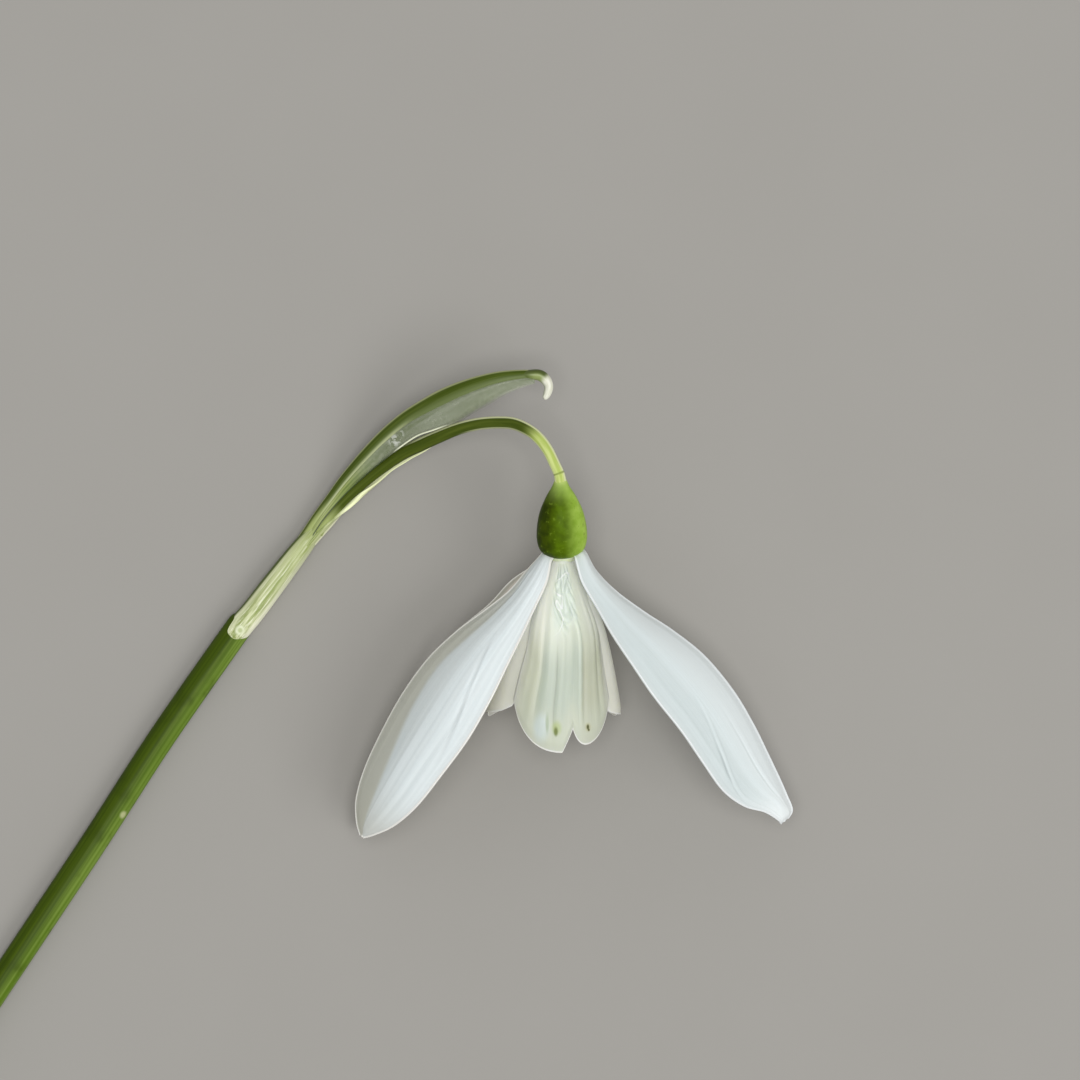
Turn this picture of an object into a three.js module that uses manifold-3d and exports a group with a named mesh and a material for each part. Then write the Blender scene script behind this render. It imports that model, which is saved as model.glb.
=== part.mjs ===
// A cut stem with one white snowdrop, lying on a table with its bloom turned up to the viewer.
// Millimetres. +X is right and +Y is away, as seen from straight above, and +Z is up from the table.
// While it is modelled, the plan's origin is at the ovary's neck, and the table is at z = 0.

import * as THREE from "three";
import Module from "manifold-3d";
import { mergeVertices } from "three/addons/utils/BufferGeometryUtils.js";

const wasm = await Module();
wasm.setup();

// Heights and thicknesses
const BLOOM_HEIGHT = 10.37; // from the table to the foot of the ovary
const SCAPE_RADIUS = 1.22;
const OUTER_THICKNESS = 0.7;
const INNER_THICKNESS = 0.6;
const SPATHE_THICKNESS = 0.6;

// The bloom's axis runs from the ovary's foot to the mouth of the cup, and leans down from the viewer
const LEAN = THREE.MathUtils.degToRad(19.3);
const NECK_TO_FOOT = 7.5;
const NECK_HEIGHT = BLOOM_HEIGHT + NECK_TO_FOOT * Math.sin(LEAN);
const FOOT = new THREE.Vector3(0.13, -NECK_TO_FOOT * Math.cos(LEAN), BLOOM_HEIGHT);
const DRIFT = -0.053; // how far the cup runs to the left for each millimetre of its length
const AXIS = new THREE.Vector3(DRIFT, -Math.cos(LEAN), -Math.sin(LEAN)).normalize();
const SIDE = new THREE.Vector3(1, DRIFT / Math.cos(LEAN), 0).normalize();
const FRONT = new THREE.Vector3().crossVectors(AXIS, SIDE);

// Middle of the scape: plan x and y
const SCAPE_PATH = [
  [-63.3, -64.8],
  [-54.05, -50.67],
  [-47.88, -41.4],
  [-41.9, -32.4],
  [-36.09, -23.4],
  [-29.75, -14.3],
];

// Closed lower part of the spathe: x, y, height, half width, half depth
const SHEATH_ROWS = [
  [-29.5, -13.95, 1.3, 1.3, 1.3],
  [-29.0, -13.3, 1.3, 1.22, 1.28],
  [-27.7, -11.76, 1.3, 1.08, 1.26],
  [-26.2, -9.82, 1.3, 1.06, 1.24],
  [-24.44, -7.52, 1.28, 1.0, 1.22],
  [-22.97, -5.64, 1.28, 0.95, 1.2],
  [-22.2, -4.62, 1.29, 0.92, 1.18],
];

// Open upper part: keel x, y and height, reach of the front wing, reach of the rear wing, half depth
const CANOPY_ROWS = [
  [-23.6, -4.9, 1.28, 0.8, 1.3, 0.9],
  [-22.4, -3.1, 1.32, 0.85, 1.85, 0.98],
  [-21.2, -1.44, 1.5, 1.15, 2.35, 1.08],
  [-19.85, 0.45, 2.0, 1.45, 2.7, 1.14],
  [-18.05, 2.61, 3.0, 1.65, 3.05, 1.2],
  [-16.25, 4.5, 4.1, 1.9, 3.35, 1.25],
  [-14.45, 6.03, 5.2, 2.2, 3.5, 1.27],
  [-12.65, 7.2, 6.3, 2.4, 3.45, 1.25],
  [-10.85, 8.19, 7.2, 2.55, 3.2, 1.2],
  [-9.05, 8.91, 7.9, 2.55, 2.9, 1.15],
  [-7.25, 9.45, 8.4, 2.35, 2.55, 1.05],
  [-5.45, 9.81, 8.7, 1.9, 2.0, 0.9],
  [-3.65, 9.95, 8.8, 1.4, 1.4, 0.75],
  [-2.3, 9.93, 8.75, 1.0, 1.0, 0.6],
];

// Hooked tip of the spathe: x, y, height, half width, half depth
const HOOK_ROWS = [
  [-2.9, 9.4, 8.75, 0.5, 0.75],
  [-1.95, 9.4, 8.75, 0.52, 0.72],
  [-1.3, 8.95, 8.75, 0.5, 0.6],
  [-1.08, 8.15, 8.7, 0.42, 0.45],
  [-1.35, 7.4, 8.65, 0.16, 0.16],
];

// Middle of the pedicel: x, y, height, radius
const PEDICEL_ROWS = [
  [-21.5, -4.0, 1.38, 0.3],
  [-20.05, -2.4, 1.59, 0.38],
  [-18.2, -0.8, 2.12, 0.48],
  [-16.35, 0.85, 3.04, 0.55],
  [-14.45, 2.38, 4.12, 0.6],
  [-12.65, 3.29, 5.25, 0.6],
  [-10.85, 4.0, 6.5, 0.58],
  [-9.05, 4.64, 7.75, 0.56],
  [-7.25, 5.04, 8.9, 0.55],
  [-5.45, 5.15, 10.0, 0.55],
  [-4.1, 5.0, 10.9, 0.55],
  [-2.75, 4.37, 11.8, 0.53],
  [-1.85, 3.6, 12.3, 0.52],
  [-1.13, 2.61, 12.7, 0.5],
  [-0.6, 1.53, 12.95, 0.5],
  [-0.15, 0.55, 13.0, 0.54],
];

// Half outline of the ovary: distance from its neck, radius
const OVARY_OUTLINE = [
  [0.0, 0.0],
  [0.0, 0.52],
  [0.67, 0.8],
  [1.24, 1.14],
  [1.91, 1.49],
  [2.87, 1.89],
  [3.82, 2.13],
  [4.78, 2.25],
  [5.54, 2.26],
  [6.3, 2.1],
  [6.75, 1.8],
  [7.05, 1.35],
  [7.2, 0.8],
  [7.25, 0.0],
];

// Outer segments. Each lies along a straight chord in plan, from start to end. Its rows give the
// distance along that chord, the outline's reach to its outer and inner side, the height of its
// middle above the ovary's foot, and how steeply the blade falls on the whole towards its outer side.
const LEFT = {
  start: [-1.215, -6.93],
  end: [-17.955, -32.31],
  outward: 1,
  rows: [
    [0.25, 0.5, 0.5, 1.0, 1.25],
    [2.0, 0.8, 1.25, 1.42, 1.27],
    [4.5, 1.15, 1.65, 1.65, 1.27],
    [7.2, 2.05, 2.05, 1.75, 1.27],
    [10.0, 3.1, 2.4, 1.6, 1.27],
    [13.5, 3.9, 2.85, 1.1, 1.27],
    [17.5, 4.05, 3.1, 0.3, 1.27],
    [21.5, 3.7, 2.9, -0.8, 1.27],
    [25.0, 3.15, 2.6, -1.9, 1.27],
    [27.6, 2.3, 1.9, -2.75, 1.27],
    [29.2, 1.2, 0.95, -3.3, 1.27],
    [30.1, 0.2, 0.2, -3.6, 1.27],
  ],
};
const RIGHT = {
  start: [1.8, -6.75],
  end: [20.295, -30.78],
  outward: -1,
  rows: [
    [0.2, 0.45, 0.5, 0.78, 1.6],
    [2.0, 0.25, 1.15, 1.15, 1.55],
    [4.5, 0.5, 1.75, 1.4, 1.55],
    [7.5, 1.35, 2.15, 1.5, 1.55],
    [10.5, 2.4, 2.35, 1.35, 1.55],
    [14.0, 3.25, 2.55, 0.9, 1.55],
    [18.0, 3.4, 2.5, 0.1, 1.55],
    [21.5, 3.0, 2.7, -0.8, 1.55],
    [24.5, 2.4, 2.8, -1.7, 1.55],
    [26.8, 1.9, 2.15, -2.4, 1.55],
    [28.4, 1.5, 1.0, -3.0, 1.55],
    [29.7, 1.1, 0.5, -3.4, 1.55],
    [30.1, 0.35, 0.5, -3.5, 1.55],
  ],
};
const BACK = {
  start: [-1.215, -6.93],
  end: [-17.955, -32.31],
  outward: 1,
  rows: [
    [-0.5, -0.47, 1.37, -1.85, 0.0],
    [0.4, 0.2, 0.75, -3.05, 0.4],
    [2.0, 0.85, 0.15, -3.6, 1.2],
    [3.8, 1.5, -0.2, -3.7, 2.2],
    [6.5, 1.95, -0.3, -3.8, 2.6],
    [10.0, 3.0, -0.2, -4.1, 2.7],
    [13.5, 3.6, -0.1, -4.45, 2.7],
    [17.5, 3.5, 0.1, -5.0, 2.7],
    [21.5, 3.05, 0.3, -5.3, 2.7],
    [25.0, 2.4, 0.45, -6.0, 2.7],
    [27.6, 1.6, 0.5, -6.95, 2.7],
    [29.0, 1.05, 0.3, -7.9, 2.7],
    [29.8, 0.35, 0.1, -8.9, 2.7],
  ],
};

// Across an outer segment its inner part lies nearly flat, and past a soft fold its outer part falls off
const FLAT_SHARE = 0.354; // slope of the flat part, as a share of the whole fall
const FOLD_PLACE = 0.3;
const FOLD_WIDTH = 0.2;

// Inner segments. The cup's rows give distance from the ovary's foot and radius at the outside.
const CUP_PROFILE = [
  [0.0, 1.25],
  [2.0, 2.25],
  [4.0, 3.15],
  [6.0, 3.95],
  [8.0, 4.55],
  [10.0, 5.05],
  [12.0, 5.5],
  [14.0, 5.9],
  [16.0, 6.15],
  [18.0, 6.2],
];
const CUP_STEP = 2;
const CUP_START = 0.35;
const CUP_LENGTH = 16.35;
const LOBE_SHOULDER = 4.2; // how much shorter a segment is at its sides
const NOTCH_DEPTH = 1.75;
const NOTCH_SPREAD = 0.09;
const INNER_RIDGE = 0.09; // height of the lengthwise ridges
const RIDGES = 6;

// Each inner segment: middle and half width in degrees round the axis, at the foot, partway and mouth
const INNER_SEGMENTS = [
  {
    name: "inner_segment_front",
    spans: [
      [85, 48],
      [83, 49],
      [78, 50],
      [77, 51],
      [78.5, 53],
      [78.5, 54],
    ],
    notch: -0.1,
  },
  {
    name: "inner_segment_left",
    spans: [
      [196, 38],
      [201, 41],
      [210, 44],
      [218, 45],
      [221, 46],
      [222, 47],
    ],
    notch: 0.33,
  },
  {
    name: "inner_segment_right",
    spans: [
      [333, 37],
      [329, 38],
      [322, 40],
      [318, 40],
      [317, 40],
      [317, 40],
    ],
    notch: -0.12,
  },
];

// Stamens and style, round the axis
const STAMENS = 6;
const DISC_RADIUS = 0.55;
const DISC_TOP = 0.4;
const DISC_BOTTOM = 0.95;
// Each row of an anther: distance from the ovary's foot, distance from the axis, half width
const ANTHER_ROWS = [
  [0.7, 0.4, 0.14],
  [1.6, 0.82, 0.16],
  [1.9, 0.95, 0.27],
  [3.4, 1.05, 0.31],
  [5.2, 0.92, 0.22],
  [6.4, 0.74, 0.08],
];
const STYLE_ROWS = [
  [1.25, 0.17],
  [4.0, 0.2],
  [7.2, 0.24],
  [8.1, 0.1],
];

// Row of a table at u from 0 to 1, on a smooth curve through its rows
function along(rows, u) {
  const place = THREE.MathUtils.clamp(u, 0, 1) * (rows.length - 1);
  const k = Math.min(Math.floor(place), rows.length - 2);
  const f = place - k;
  const p1 = rows[k];
  const p2 = rows[k + 1];
  const p0 = rows[k - 1] ?? p1.map((value, c) => 2 * value - p2[c]);
  const p3 = rows[k + 2] ?? p2.map((value, c) => 2 * value - p1[c]);
  return p1.map((value, c) => {
    const rise = p2[c] - p0[c];
    const square = 2 * p0[c] - 5 * value + 4 * p2[c] - p3[c];
    const cube = 3 * value - p0[c] - 3 * p2[c] + p3[c];
    return value + 0.5 * f * (rise + f * (square + f * cube));
  });
}

function steps(count) {
  return Array.from({ length: count + 1 }, (_, k) => k / count);
}

// A closed geometry from points and triangles, turned so that its faces point out
function solid(points, triangles) {
  const geometry = new THREE.BufferGeometry();
  geometry.setAttribute("position", new THREE.Float32BufferAttribute(points.flatMap((p) => p.toArray()), 3));
  let volume = 0;
  for (const [a, b, c] of triangles) {
    volume += points[a].dot(new THREE.Vector3().crossVectors(points[b], points[c]));
  }
  const ordered = volume > 0 ? triangles : triangles.map(([a, b, c]) => [a, c, b]);
  geometry.setIndex(ordered.flat());
  geometry.computeVertexNormals();
  return geometry;
}

// A blade of even thickness round a grid of middle points, both faces split alike, its rim closed
function shell(grid, thickness) {
  const rows = grid.length;
  const cols = grid[0].length;
  const near = [];
  const far = [];
  for (let i = 0; i < rows; i++) {
    for (let j = 0; j < cols; j++) {
      const lengthwise = grid[Math.min(i + 1, rows - 1)][j].clone().sub(grid[Math.max(i - 1, 0)][j]);
      const across = grid[i][Math.min(j + 1, cols - 1)].clone().sub(grid[i][Math.max(j - 1, 0)]);
      const half = lengthwise.cross(across).normalize().multiplyScalar(thickness / 2);
      near.push(grid[i][j].clone().add(half));
      far.push(grid[i][j].clone().sub(half));
    }
  }
  const count = rows * cols;
  const at = (i, j) => i * cols + j;
  const triangles = [];
  for (let i = 0; i + 1 < rows; i++) {
    for (let j = 0; j + 1 < cols; j++) {
      const [a, b, c, d] = [at(i, j), at(i + 1, j), at(i + 1, j + 1), at(i, j + 1)];
      triangles.push([a, b, c], [a, c, d]);
      triangles.push([a + count, c + count, b + count], [a + count, d + count, c + count]);
    }
  }
  const rim = [];
  for (let i = 0; i + 1 < rows; i++) rim.push([at(i + 1, 0), at(i, 0)], [at(i, cols - 1), at(i + 1, cols - 1)]);
  for (let j = 0; j + 1 < cols; j++) rim.push([at(0, j), at(0, j + 1)], [at(rows - 1, j + 1), at(rows - 1, j)]);
  for (const [a, b] of rim) triangles.push([a, b, b + count], [a, b + count, a + count]);
  return solid([...near, ...far], triangles);
}

// A solid through closed rings of points, each end closed by a fan
function loft(rings) {
  const sides = rings[0].length;
  const points = rings.flat();
  const triangles = [];
  for (let i = 0; i + 1 < rings.length; i++) {
    for (let j = 0; j < sides; j++) {
      const next = (j + 1) % sides;
      const [a, b] = [i * sides + j, i * sides + next];
      triangles.push([a, a + sides, b + sides], [a, b + sides, b]);
    }
  }
  const last = (rings.length - 1) * sides;
  for (let j = 1; j + 1 < sides; j++) {
    triangles.push([0, j, j + 1]);
    triangles.push([last, last + j + 1, last + j]);
  }
  return solid(points, triangles);
}

// Rings round a path whose rows are x, y, height, half width in plan and half depth. The rings stand
// square to the path, or upright to the table where upright is set.
function ringsAlong(rows, stations, sides, upright) {
  return stations.map((u) => {
    const [x, y, z, width, depth] = along(rows, u);
    const ahead = along(rows, Math.min(u + 0.01, 1));
    const behind = along(rows, Math.max(u - 0.01, 0));
    const tangent = new THREE.Vector3(ahead[0] - behind[0], ahead[1] - behind[1], ahead[2] - behind[2]);
    if (upright) tangent.z = 0;
    tangent.normalize();
    const right = new THREE.Vector3(tangent.y, -tangent.x, 0).normalize();
    const up = new THREE.Vector3().crossVectors(right, tangent);
    return Array.from({ length: sides }, (_, k) => {
      const turn = ((k + 0.5) / sides) * 2 * Math.PI;
      return new THREE.Vector3(x, y, z)
        .addScaledVector(right, width * Math.sin(turn))
        .addScaledVector(up, -depth * Math.cos(turn));
    });
  });
}

function toManifold(geometry) {
  const bare = geometry.clone();
  bare.deleteAttribute("normal");
  const merged = mergeVertices(bare);
  const mesh = new wasm.Mesh({
    numProp: 3,
    vertProperties: Float32Array.from(merged.attributes.position.array),
    triVerts: Uint32Array.from(merged.index.array),
  });
  return new wasm.Manifold(mesh);
}

function joined(geometries) {
  const whole = geometries.map(toManifold).reduce((sum, piece) => sum.add(piece));
  const mesh = whole.getMesh();
  const geometry = new THREE.BufferGeometry();
  geometry.setAttribute("position", new THREE.Float32BufferAttribute(Array.from(mesh.vertProperties), 3));
  geometry.setIndex(Array.from(mesh.triVerts));
  geometry.computeVertexNormals();
  return geometry;
}

function green(color) {
  return new THREE.MeshStandardMaterial({ color, roughness: 0.45, metalness: 0 });
}

function petalWhite(color) {
  return new THREE.MeshStandardMaterial({ color, roughness: 0.6, metalness: 0 });
}

function named(name, geometry, material) {
  const mesh = new THREE.Mesh(geometry, material);
  mesh.name = name;
  return mesh;
}

// The flower stalk lies flat: its lowest facet is on the table from the cut end to the sheath
function scape() {
  const sides = 12;
  const corner = SCAPE_RADIUS / Math.cos(Math.PI / sides);
  const rows = SCAPE_PATH.map(([x, y]) => [x, y, SCAPE_RADIUS, corner, corner]);
  return named("scape", loft(ringsAlong(rows, steps(10), sides, true)), green(0x4c6b1f));
}

// One row across the open spathe: a deep U with its keel at the upper left and its wings to the right
function canopyRow(u, half) {
  const [x, y, z, frontReach, rearReach, depth] = along(CANOPY_ROWS, u);
  const ahead = along(CANOPY_ROWS, Math.min(u + 0.01, 1));
  const behind = along(CANOPY_ROWS, Math.max(u - 0.01, 0));
  const tangent = new THREE.Vector2(ahead[0] - behind[0], ahead[1] - behind[1]).normalize();
  const inward = new THREE.Vector3(tangent.y, -tangent.x, 0);
  const keel = new THREE.Vector3(x, y, z).addScaledVector(inward, SPATHE_THICKNESS / 2);
  const row = [];
  for (let k = -half; k <= half; k++) {
    const turn = (Math.abs(k) / half) * (Math.PI / 2);
    const reach = (k > 0 ? frontReach : rearReach) * (1 - Math.cos(turn));
    const point = keel.clone().addScaledVector(inward, reach);
    point.z += Math.sign(k) * depth * Math.sin(turn);
    row.push(point);
  }
  return row;
}

function spathe() {
  const sheath = loft(ringsAlong(SHEATH_ROWS, steps(8), 12, true));
  const canopy = shell(steps(20).map((u) => canopyRow(u, 4)), SPATHE_THICKNESS);
  const hook = loft(ringsAlong(HOOK_ROWS, steps(6), 8, true));
  return named("spathe", joined([sheath, canopy, hook]), green(0x7d8f4a));
}

function pedicel() {
  const rows = PEDICEL_ROWS.map(([x, y, z, radius]) => [x, y, z, radius, radius]);
  return named("pedicel", loft(ringsAlong(rows, steps(34), 8, false)), green(0x55801f));
}

function ovary() {
  const outline = OVARY_OUTLINE.map(([distance, radius]) => new THREE.Vector2(radius, -distance)).reverse();
  const geometry = new THREE.LatheGeometry(outline, 16);
  const mesh = named("ovary", mergeVertices(withoutExtras(geometry)), green(0x4f7d18));
  const down = new THREE.Vector3(FOOT.x, FOOT.y, FOOT.z - NECK_HEIGHT).normalize();
  mesh.quaternion.setFromUnitVectors(new THREE.Vector3(0, -1, 0), down);
  mesh.position.set(0, 0, NECK_HEIGHT);
  return mesh;
}

function withoutExtras(geometry) {
  geometry.deleteAttribute("normal");
  geometry.deleteAttribute("uv");
  return geometry;
}

// How far a blade has folded down at v across it, from -1 at its inner edge to 1 at its outer edge
function foldDrop(v) {
  return FOLD_WIDTH * Math.log1p(Math.exp((v - FOLD_PLACE) / FOLD_WIDTH));
}

// Middle of an outer segment at u along it and v across it
function outerPoint(segment, u, v) {
  const [distance, outer, inner, height, fall] = along(segment.rows, u);
  const start = new THREE.Vector3(...segment.start, 0);
  const chord = new THREE.Vector3(...segment.end, 0).sub(start).normalize();
  const outward = new THREE.Vector3(chord.y, -chord.x, 0).multiplyScalar(segment.outward);
  const middle = (outer - inner) / 2;
  const half = (outer + inner) / 2;
  const flat = FLAT_SHARE * fall;
  const steep = (2 * (fall - flat)) / foldDrop(1);
  const point = start.addScaledVector(chord, distance).addScaledVector(outward, middle + half * v);
  point.z = BLOOM_HEIGHT + height + half * (fall - flat * (1 + v) - steep * foldDrop(v));
  return point;
}

function outerSegment(name, segment) {
  const across = steps(10).map((v) => 2 * v - 1);
  const grid = steps(16).map((u) => across.map((v) => outerPoint(segment, u, v)));
  return named(name, shell(grid, OUTER_THICKNESS), petalWhite(0xe6e9ea));
}

function cupRadius(distance) {
  return along(CUP_PROFILE, distance / CUP_STEP / (CUP_PROFILE.length - 1))[1];
}

// Where an inner segment ends, at q from -1 to 1 across it: two lobes with a notch between them
function lobeEnd(q, notch) {
  const shoulder = LOBE_SHOULDER * Math.abs(q) ** 2.6;
  return CUP_LENGTH - shoulder - NOTCH_DEPTH * Math.exp(-Math.abs(q - notch) / NOTCH_SPREAD);
}

function innerPoint(segment, u, q) {
  const [middle, half] = along(segment.spans, u);
  const distance = THREE.MathUtils.lerp(CUP_START, lobeEnd(q, segment.notch), u);
  const ridge = INNER_RIDGE * Math.cos(Math.PI * RIDGES * q) * Math.sin(Math.PI * u);
  const radius = cupRadius(distance) - INNER_THICKNESS / 2 + ridge;
  const turn = THREE.MathUtils.degToRad(middle + half * q);
  return FOOT.clone()
    .addScaledVector(AXIS, distance)
    .addScaledVector(SIDE, radius * Math.cos(turn))
    .addScaledVector(FRONT, radius * Math.sin(turn));
}

function innerSegment(segment) {
  const left = steps(6).map((f) => THREE.MathUtils.lerp(-1, segment.notch, f));
  const right = steps(6).map((f) => THREE.MathUtils.lerp(segment.notch, 1, f));
  const across = [...left, ...right.slice(1)];
  const grid = steps(9).map((u) => across.map((q) => innerPoint(segment, u, q)));
  return named(segment.name, shell(grid, INNER_THICKNESS), petalWhite(0xe4e6d6));
}

// A ring of points round a line parallel to the bloom's axis
function axisRing(distance, offset, turn, radius, sides) {
  const centre = FOOT.clone()
    .addScaledVector(AXIS, distance)
    .addScaledVector(SIDE, offset * Math.cos(turn))
    .addScaledVector(FRONT, offset * Math.sin(turn));
  return Array.from({ length: sides }, (_, k) => {
    const around = (k / sides) * 2 * Math.PI + turn;
    return centre
      .clone()
      .addScaledVector(SIDE, radius * Math.cos(around))
      .addScaledVector(FRONT, radius * Math.sin(around));
  });
}

function stamens() {
  const disc = loft([DISC_TOP, DISC_BOTTOM].map((distance) => axisRing(distance, 0, 0, DISC_RADIUS, 12)));
  const anthers = Array.from({ length: STAMENS }, (_, k) => {
    const turn = ((k + 0.5) / STAMENS) * 2 * Math.PI;
    return loft(ANTHER_ROWS.map(([distance, offset, half]) => axisRing(distance, offset, turn, half, 6)));
  });
  return named("stamens", joined([disc, ...anthers]), petalWhite(0xd9a441));
}

function style() {
  const rings = STYLE_ROWS.map(([distance, radius]) => axisRing(distance, 0, 0, radius, 8));
  return named("style", loft(rings), petalWhite(0xd7dcb4));
}

function snowdrop() {
  const group = new THREE.Group();
  group.add(scape(), spathe(), pedicel(), ovary());
  group.add(outerSegment("outer_segment_left", LEFT));
  group.add(outerSegment("outer_segment_right", RIGHT));
  group.add(outerSegment("outer_segment_back", BACK));
  for (const segment of INNER_SEGMENTS) group.add(innerSegment(segment));
  group.add(stamens(), style());

  // The part's own origin is under the middle of its box, on the table
  group.updateMatrixWorld(true);
  const box = new THREE.Box3().setFromObject(group, true);
  const centre = box.getCenter(new THREE.Vector3());
  group.position.set(-centre.x, -centre.y, -box.min.z);
  group.updateMatrixWorld(true);
  return group;
}

export default snowdrop();
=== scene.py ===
import math

import bpy
import numpy as np
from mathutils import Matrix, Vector


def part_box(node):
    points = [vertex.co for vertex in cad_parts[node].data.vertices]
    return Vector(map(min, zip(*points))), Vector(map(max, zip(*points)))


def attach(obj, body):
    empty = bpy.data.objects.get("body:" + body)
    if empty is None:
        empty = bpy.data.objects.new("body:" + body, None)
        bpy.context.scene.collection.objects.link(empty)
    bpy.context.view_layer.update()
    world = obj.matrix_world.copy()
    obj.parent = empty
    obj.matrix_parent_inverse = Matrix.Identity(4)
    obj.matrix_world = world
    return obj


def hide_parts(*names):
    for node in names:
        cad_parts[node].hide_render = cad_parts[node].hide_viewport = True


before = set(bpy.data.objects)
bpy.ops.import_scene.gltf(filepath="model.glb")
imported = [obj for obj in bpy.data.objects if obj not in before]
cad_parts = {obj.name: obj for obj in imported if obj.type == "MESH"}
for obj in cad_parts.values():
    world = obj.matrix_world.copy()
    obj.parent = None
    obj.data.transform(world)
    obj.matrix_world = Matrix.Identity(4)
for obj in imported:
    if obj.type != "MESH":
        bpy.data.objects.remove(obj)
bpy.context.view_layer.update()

# A cut snowdrop stem with one bloom, lying on a pale floor, seen from straight above.
# The tables are in millimetres, in the plan of the solids before they are centred: the plan's
# origin is at the ovary's neck, +X is right, +Y is away and +Z is up from the floor.
MM = 0.001

# Heights and thicknesses
BLOOM_HEIGHT = 10.37
SCAPE_RADIUS = 1.22
OUTER_THICKNESS = (0.1, 0.34, 1.6)  # at a blade's margin, in full, and how far in it is full
BEAD_THICKNESS = 0.16
BEAD_WIDTH = 0.13
INNER_THICKNESS = (0.08, 0.26, 1.0)
INNER_CLEARANCE = 0.05  # from the cup's profile to the outside of an inner segment
INNER_RIB_SHARE = 0.75  # how much of their heights in the tables the inner segments' ribs have
CANOPY_OUTSIDE = 0.3  # from the middle of the solid canopy's wall to its outside

# How far to each side along a path its direction is read, as a share of its length
TANGENT_STEP = 0.004

# The bloom's axis
LEAN = math.radians(19.3)
NECK_TO_FOOT = 7.5
NECK_HEIGHT = BLOOM_HEIGHT + NECK_TO_FOOT * math.sin(LEAN)
FOOT = np.array([0.13, -NECK_TO_FOOT * math.cos(LEAN), BLOOM_HEIGHT])
DRIFT = -0.053


def unit(vector):
    vector = np.asarray(vector, float)
    return vector / np.linalg.norm(vector, axis=-1, keepdims=True)


AXIS = unit([DRIFT, -math.cos(LEAN), -math.sin(LEAN)])
SIDE = unit([1.0, DRIFT / math.cos(LEAN), 0.0])
FRONT = np.cross(AXIS, SIDE)

# Middle of the scape: plan x and y
SCAPE_PATH = [
    [-63.29, -64.79], [-54.05, -50.67], [-47.88, -41.4], [-41.9, -32.4], [-36.09, -23.4],
    [-29.75, -14.3],
]

# Top of the scape, out of sight in the sheath: x, y, radius
SCAPE_TOP = [[-28.75, -12.95, 1.16], [-27.9, -11.9, 0.7]]
SCAPE_RIBS = 9
SCAPE_RIB_DEPTH = 0.008  # as a share of the radius

# Closed lower part of the spathe: x, y, height, half width, half depth
SHEATH_ROWS = [
    [-29.6, -14.22, 1.32, 0.98, 1.16], [-29.52, -14.1, 1.33, 1.06, 1.24],
    [-29.2, -13.66, 1.33, 1.11, 1.27], [-28.6, -12.87, 1.32, 1.13, 1.28],
    [-27.68, -11.78, 1.3, 1.1, 1.26], [-26.2, -9.82, 1.3, 1.08, 1.24],
    [-24.44, -7.52, 1.28, 1.0, 1.2], [-23.2, -5.92, 1.28, 0.9, 1.06],
    [-22.4, -4.9, 1.3, 0.76, 0.86], [-21.7, -4.0, 1.36, 0.5, 0.55],
]
# The sheath's lip starts this much further up the stem at its right than at its front
LIP_RISE = 0.8

# Open upper part: keel x, y and height, reach of the front wing, reach of the rear wing, half depth,
# and how many degrees the rear wing goes round: 90 where it is open, more where it closes the tube
CANOPY_ROWS = [
    [-25.14, -6.98, 1.28, 0.76, 0.68, 0.9, 268], [-23.6, -4.92, 1.28, 0.83, 0.8, 0.97, 264],
    [-22.4, -3.12, 1.34, 0.82, 0.95, 1.02, 248], [-21.2, -1.45, 1.5, 0.95, 1.04, 1.08, 208],
    [-19.85, 0.44, 2.0, 1.32, 1.36, 1.12, 147], [-18.05, 2.6, 3.0, 1.75, 2.29, 1.18, 107],
    [-16.25, 4.49, 4.1, 2.1, 3.26, 1.25, 93], [-14.45, 6.02, 5.2, 2.35, 3.82, 1.27, 90],
    [-12.65, 7.19, 6.3, 2.8, 3.75, 1.25, 90], [-10.85, 8.18, 7.2, 3.05, 3.3, 1.2, 90],
    [-9.05, 8.9, 7.9, 2.75, 2.9, 1.15, 90], [-7.25, 9.44, 8.4, 2.35, 2.55, 1.05, 90],
    [-5.45, 9.8, 8.7, 1.9, 2.0, 0.9, 90], [-3.65, 9.93, 8.8, 1.4, 1.4, 0.75, 90],
    [-2.3, 9.91, 8.75, 1.0, 1.0, 0.6, 90],
]
KEEL_TURN = math.radians(50)  # how far round its U the thick green back reaches
WING_START = KEEL_TURN * 0.9
KEEL_EDGE_THICKNESS = 0.16
KEEL_SWELL = 0.4
MEMBRANE_THICKNESS = 0.1
MEMBRANE_DEPTH = 0.12  # from the solid canopy's outside in to the middle of a membrane
FRONT_RIM_THICKNESS = 0.04
REAR_RIM_THICKNESS = 0.36
RIM_WIDTH = 0.3

# A pale spot on the sheath's lip, and a pale scar on the stalk
BASE_SPOT = [-28.88, -13.54, 2.6]
SCAPE_SCAR = [-39.4, -30.2, 2.06]

# Places with small white specks on the membranes: place, radius
SPECKS = [([-14.95, 3.6], 0.8), ([-14.5, 4.1], 0.55)]

# Hooked tip of the spathe: x, y, height, half width, half depth
HOOK_ROWS = [
    [-3.6, 9.42, 8.75, 0.3, 0.45], [-2.7, 9.44, 8.75, 0.46, 0.66],
    [-1.9, 9.4, 8.75, 0.5, 0.62], [-1.35, 9.0, 8.75, 0.49, 0.56],
    [-1.06, 8.4, 8.7, 0.41, 0.46], [-1.18, 7.78, 8.66, 0.36, 0.36],
    [-1.4, 7.36, 8.65, 0.24, 0.22], [-1.48, 7.24, 8.65, 0.05, 0.05],
]

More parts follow.
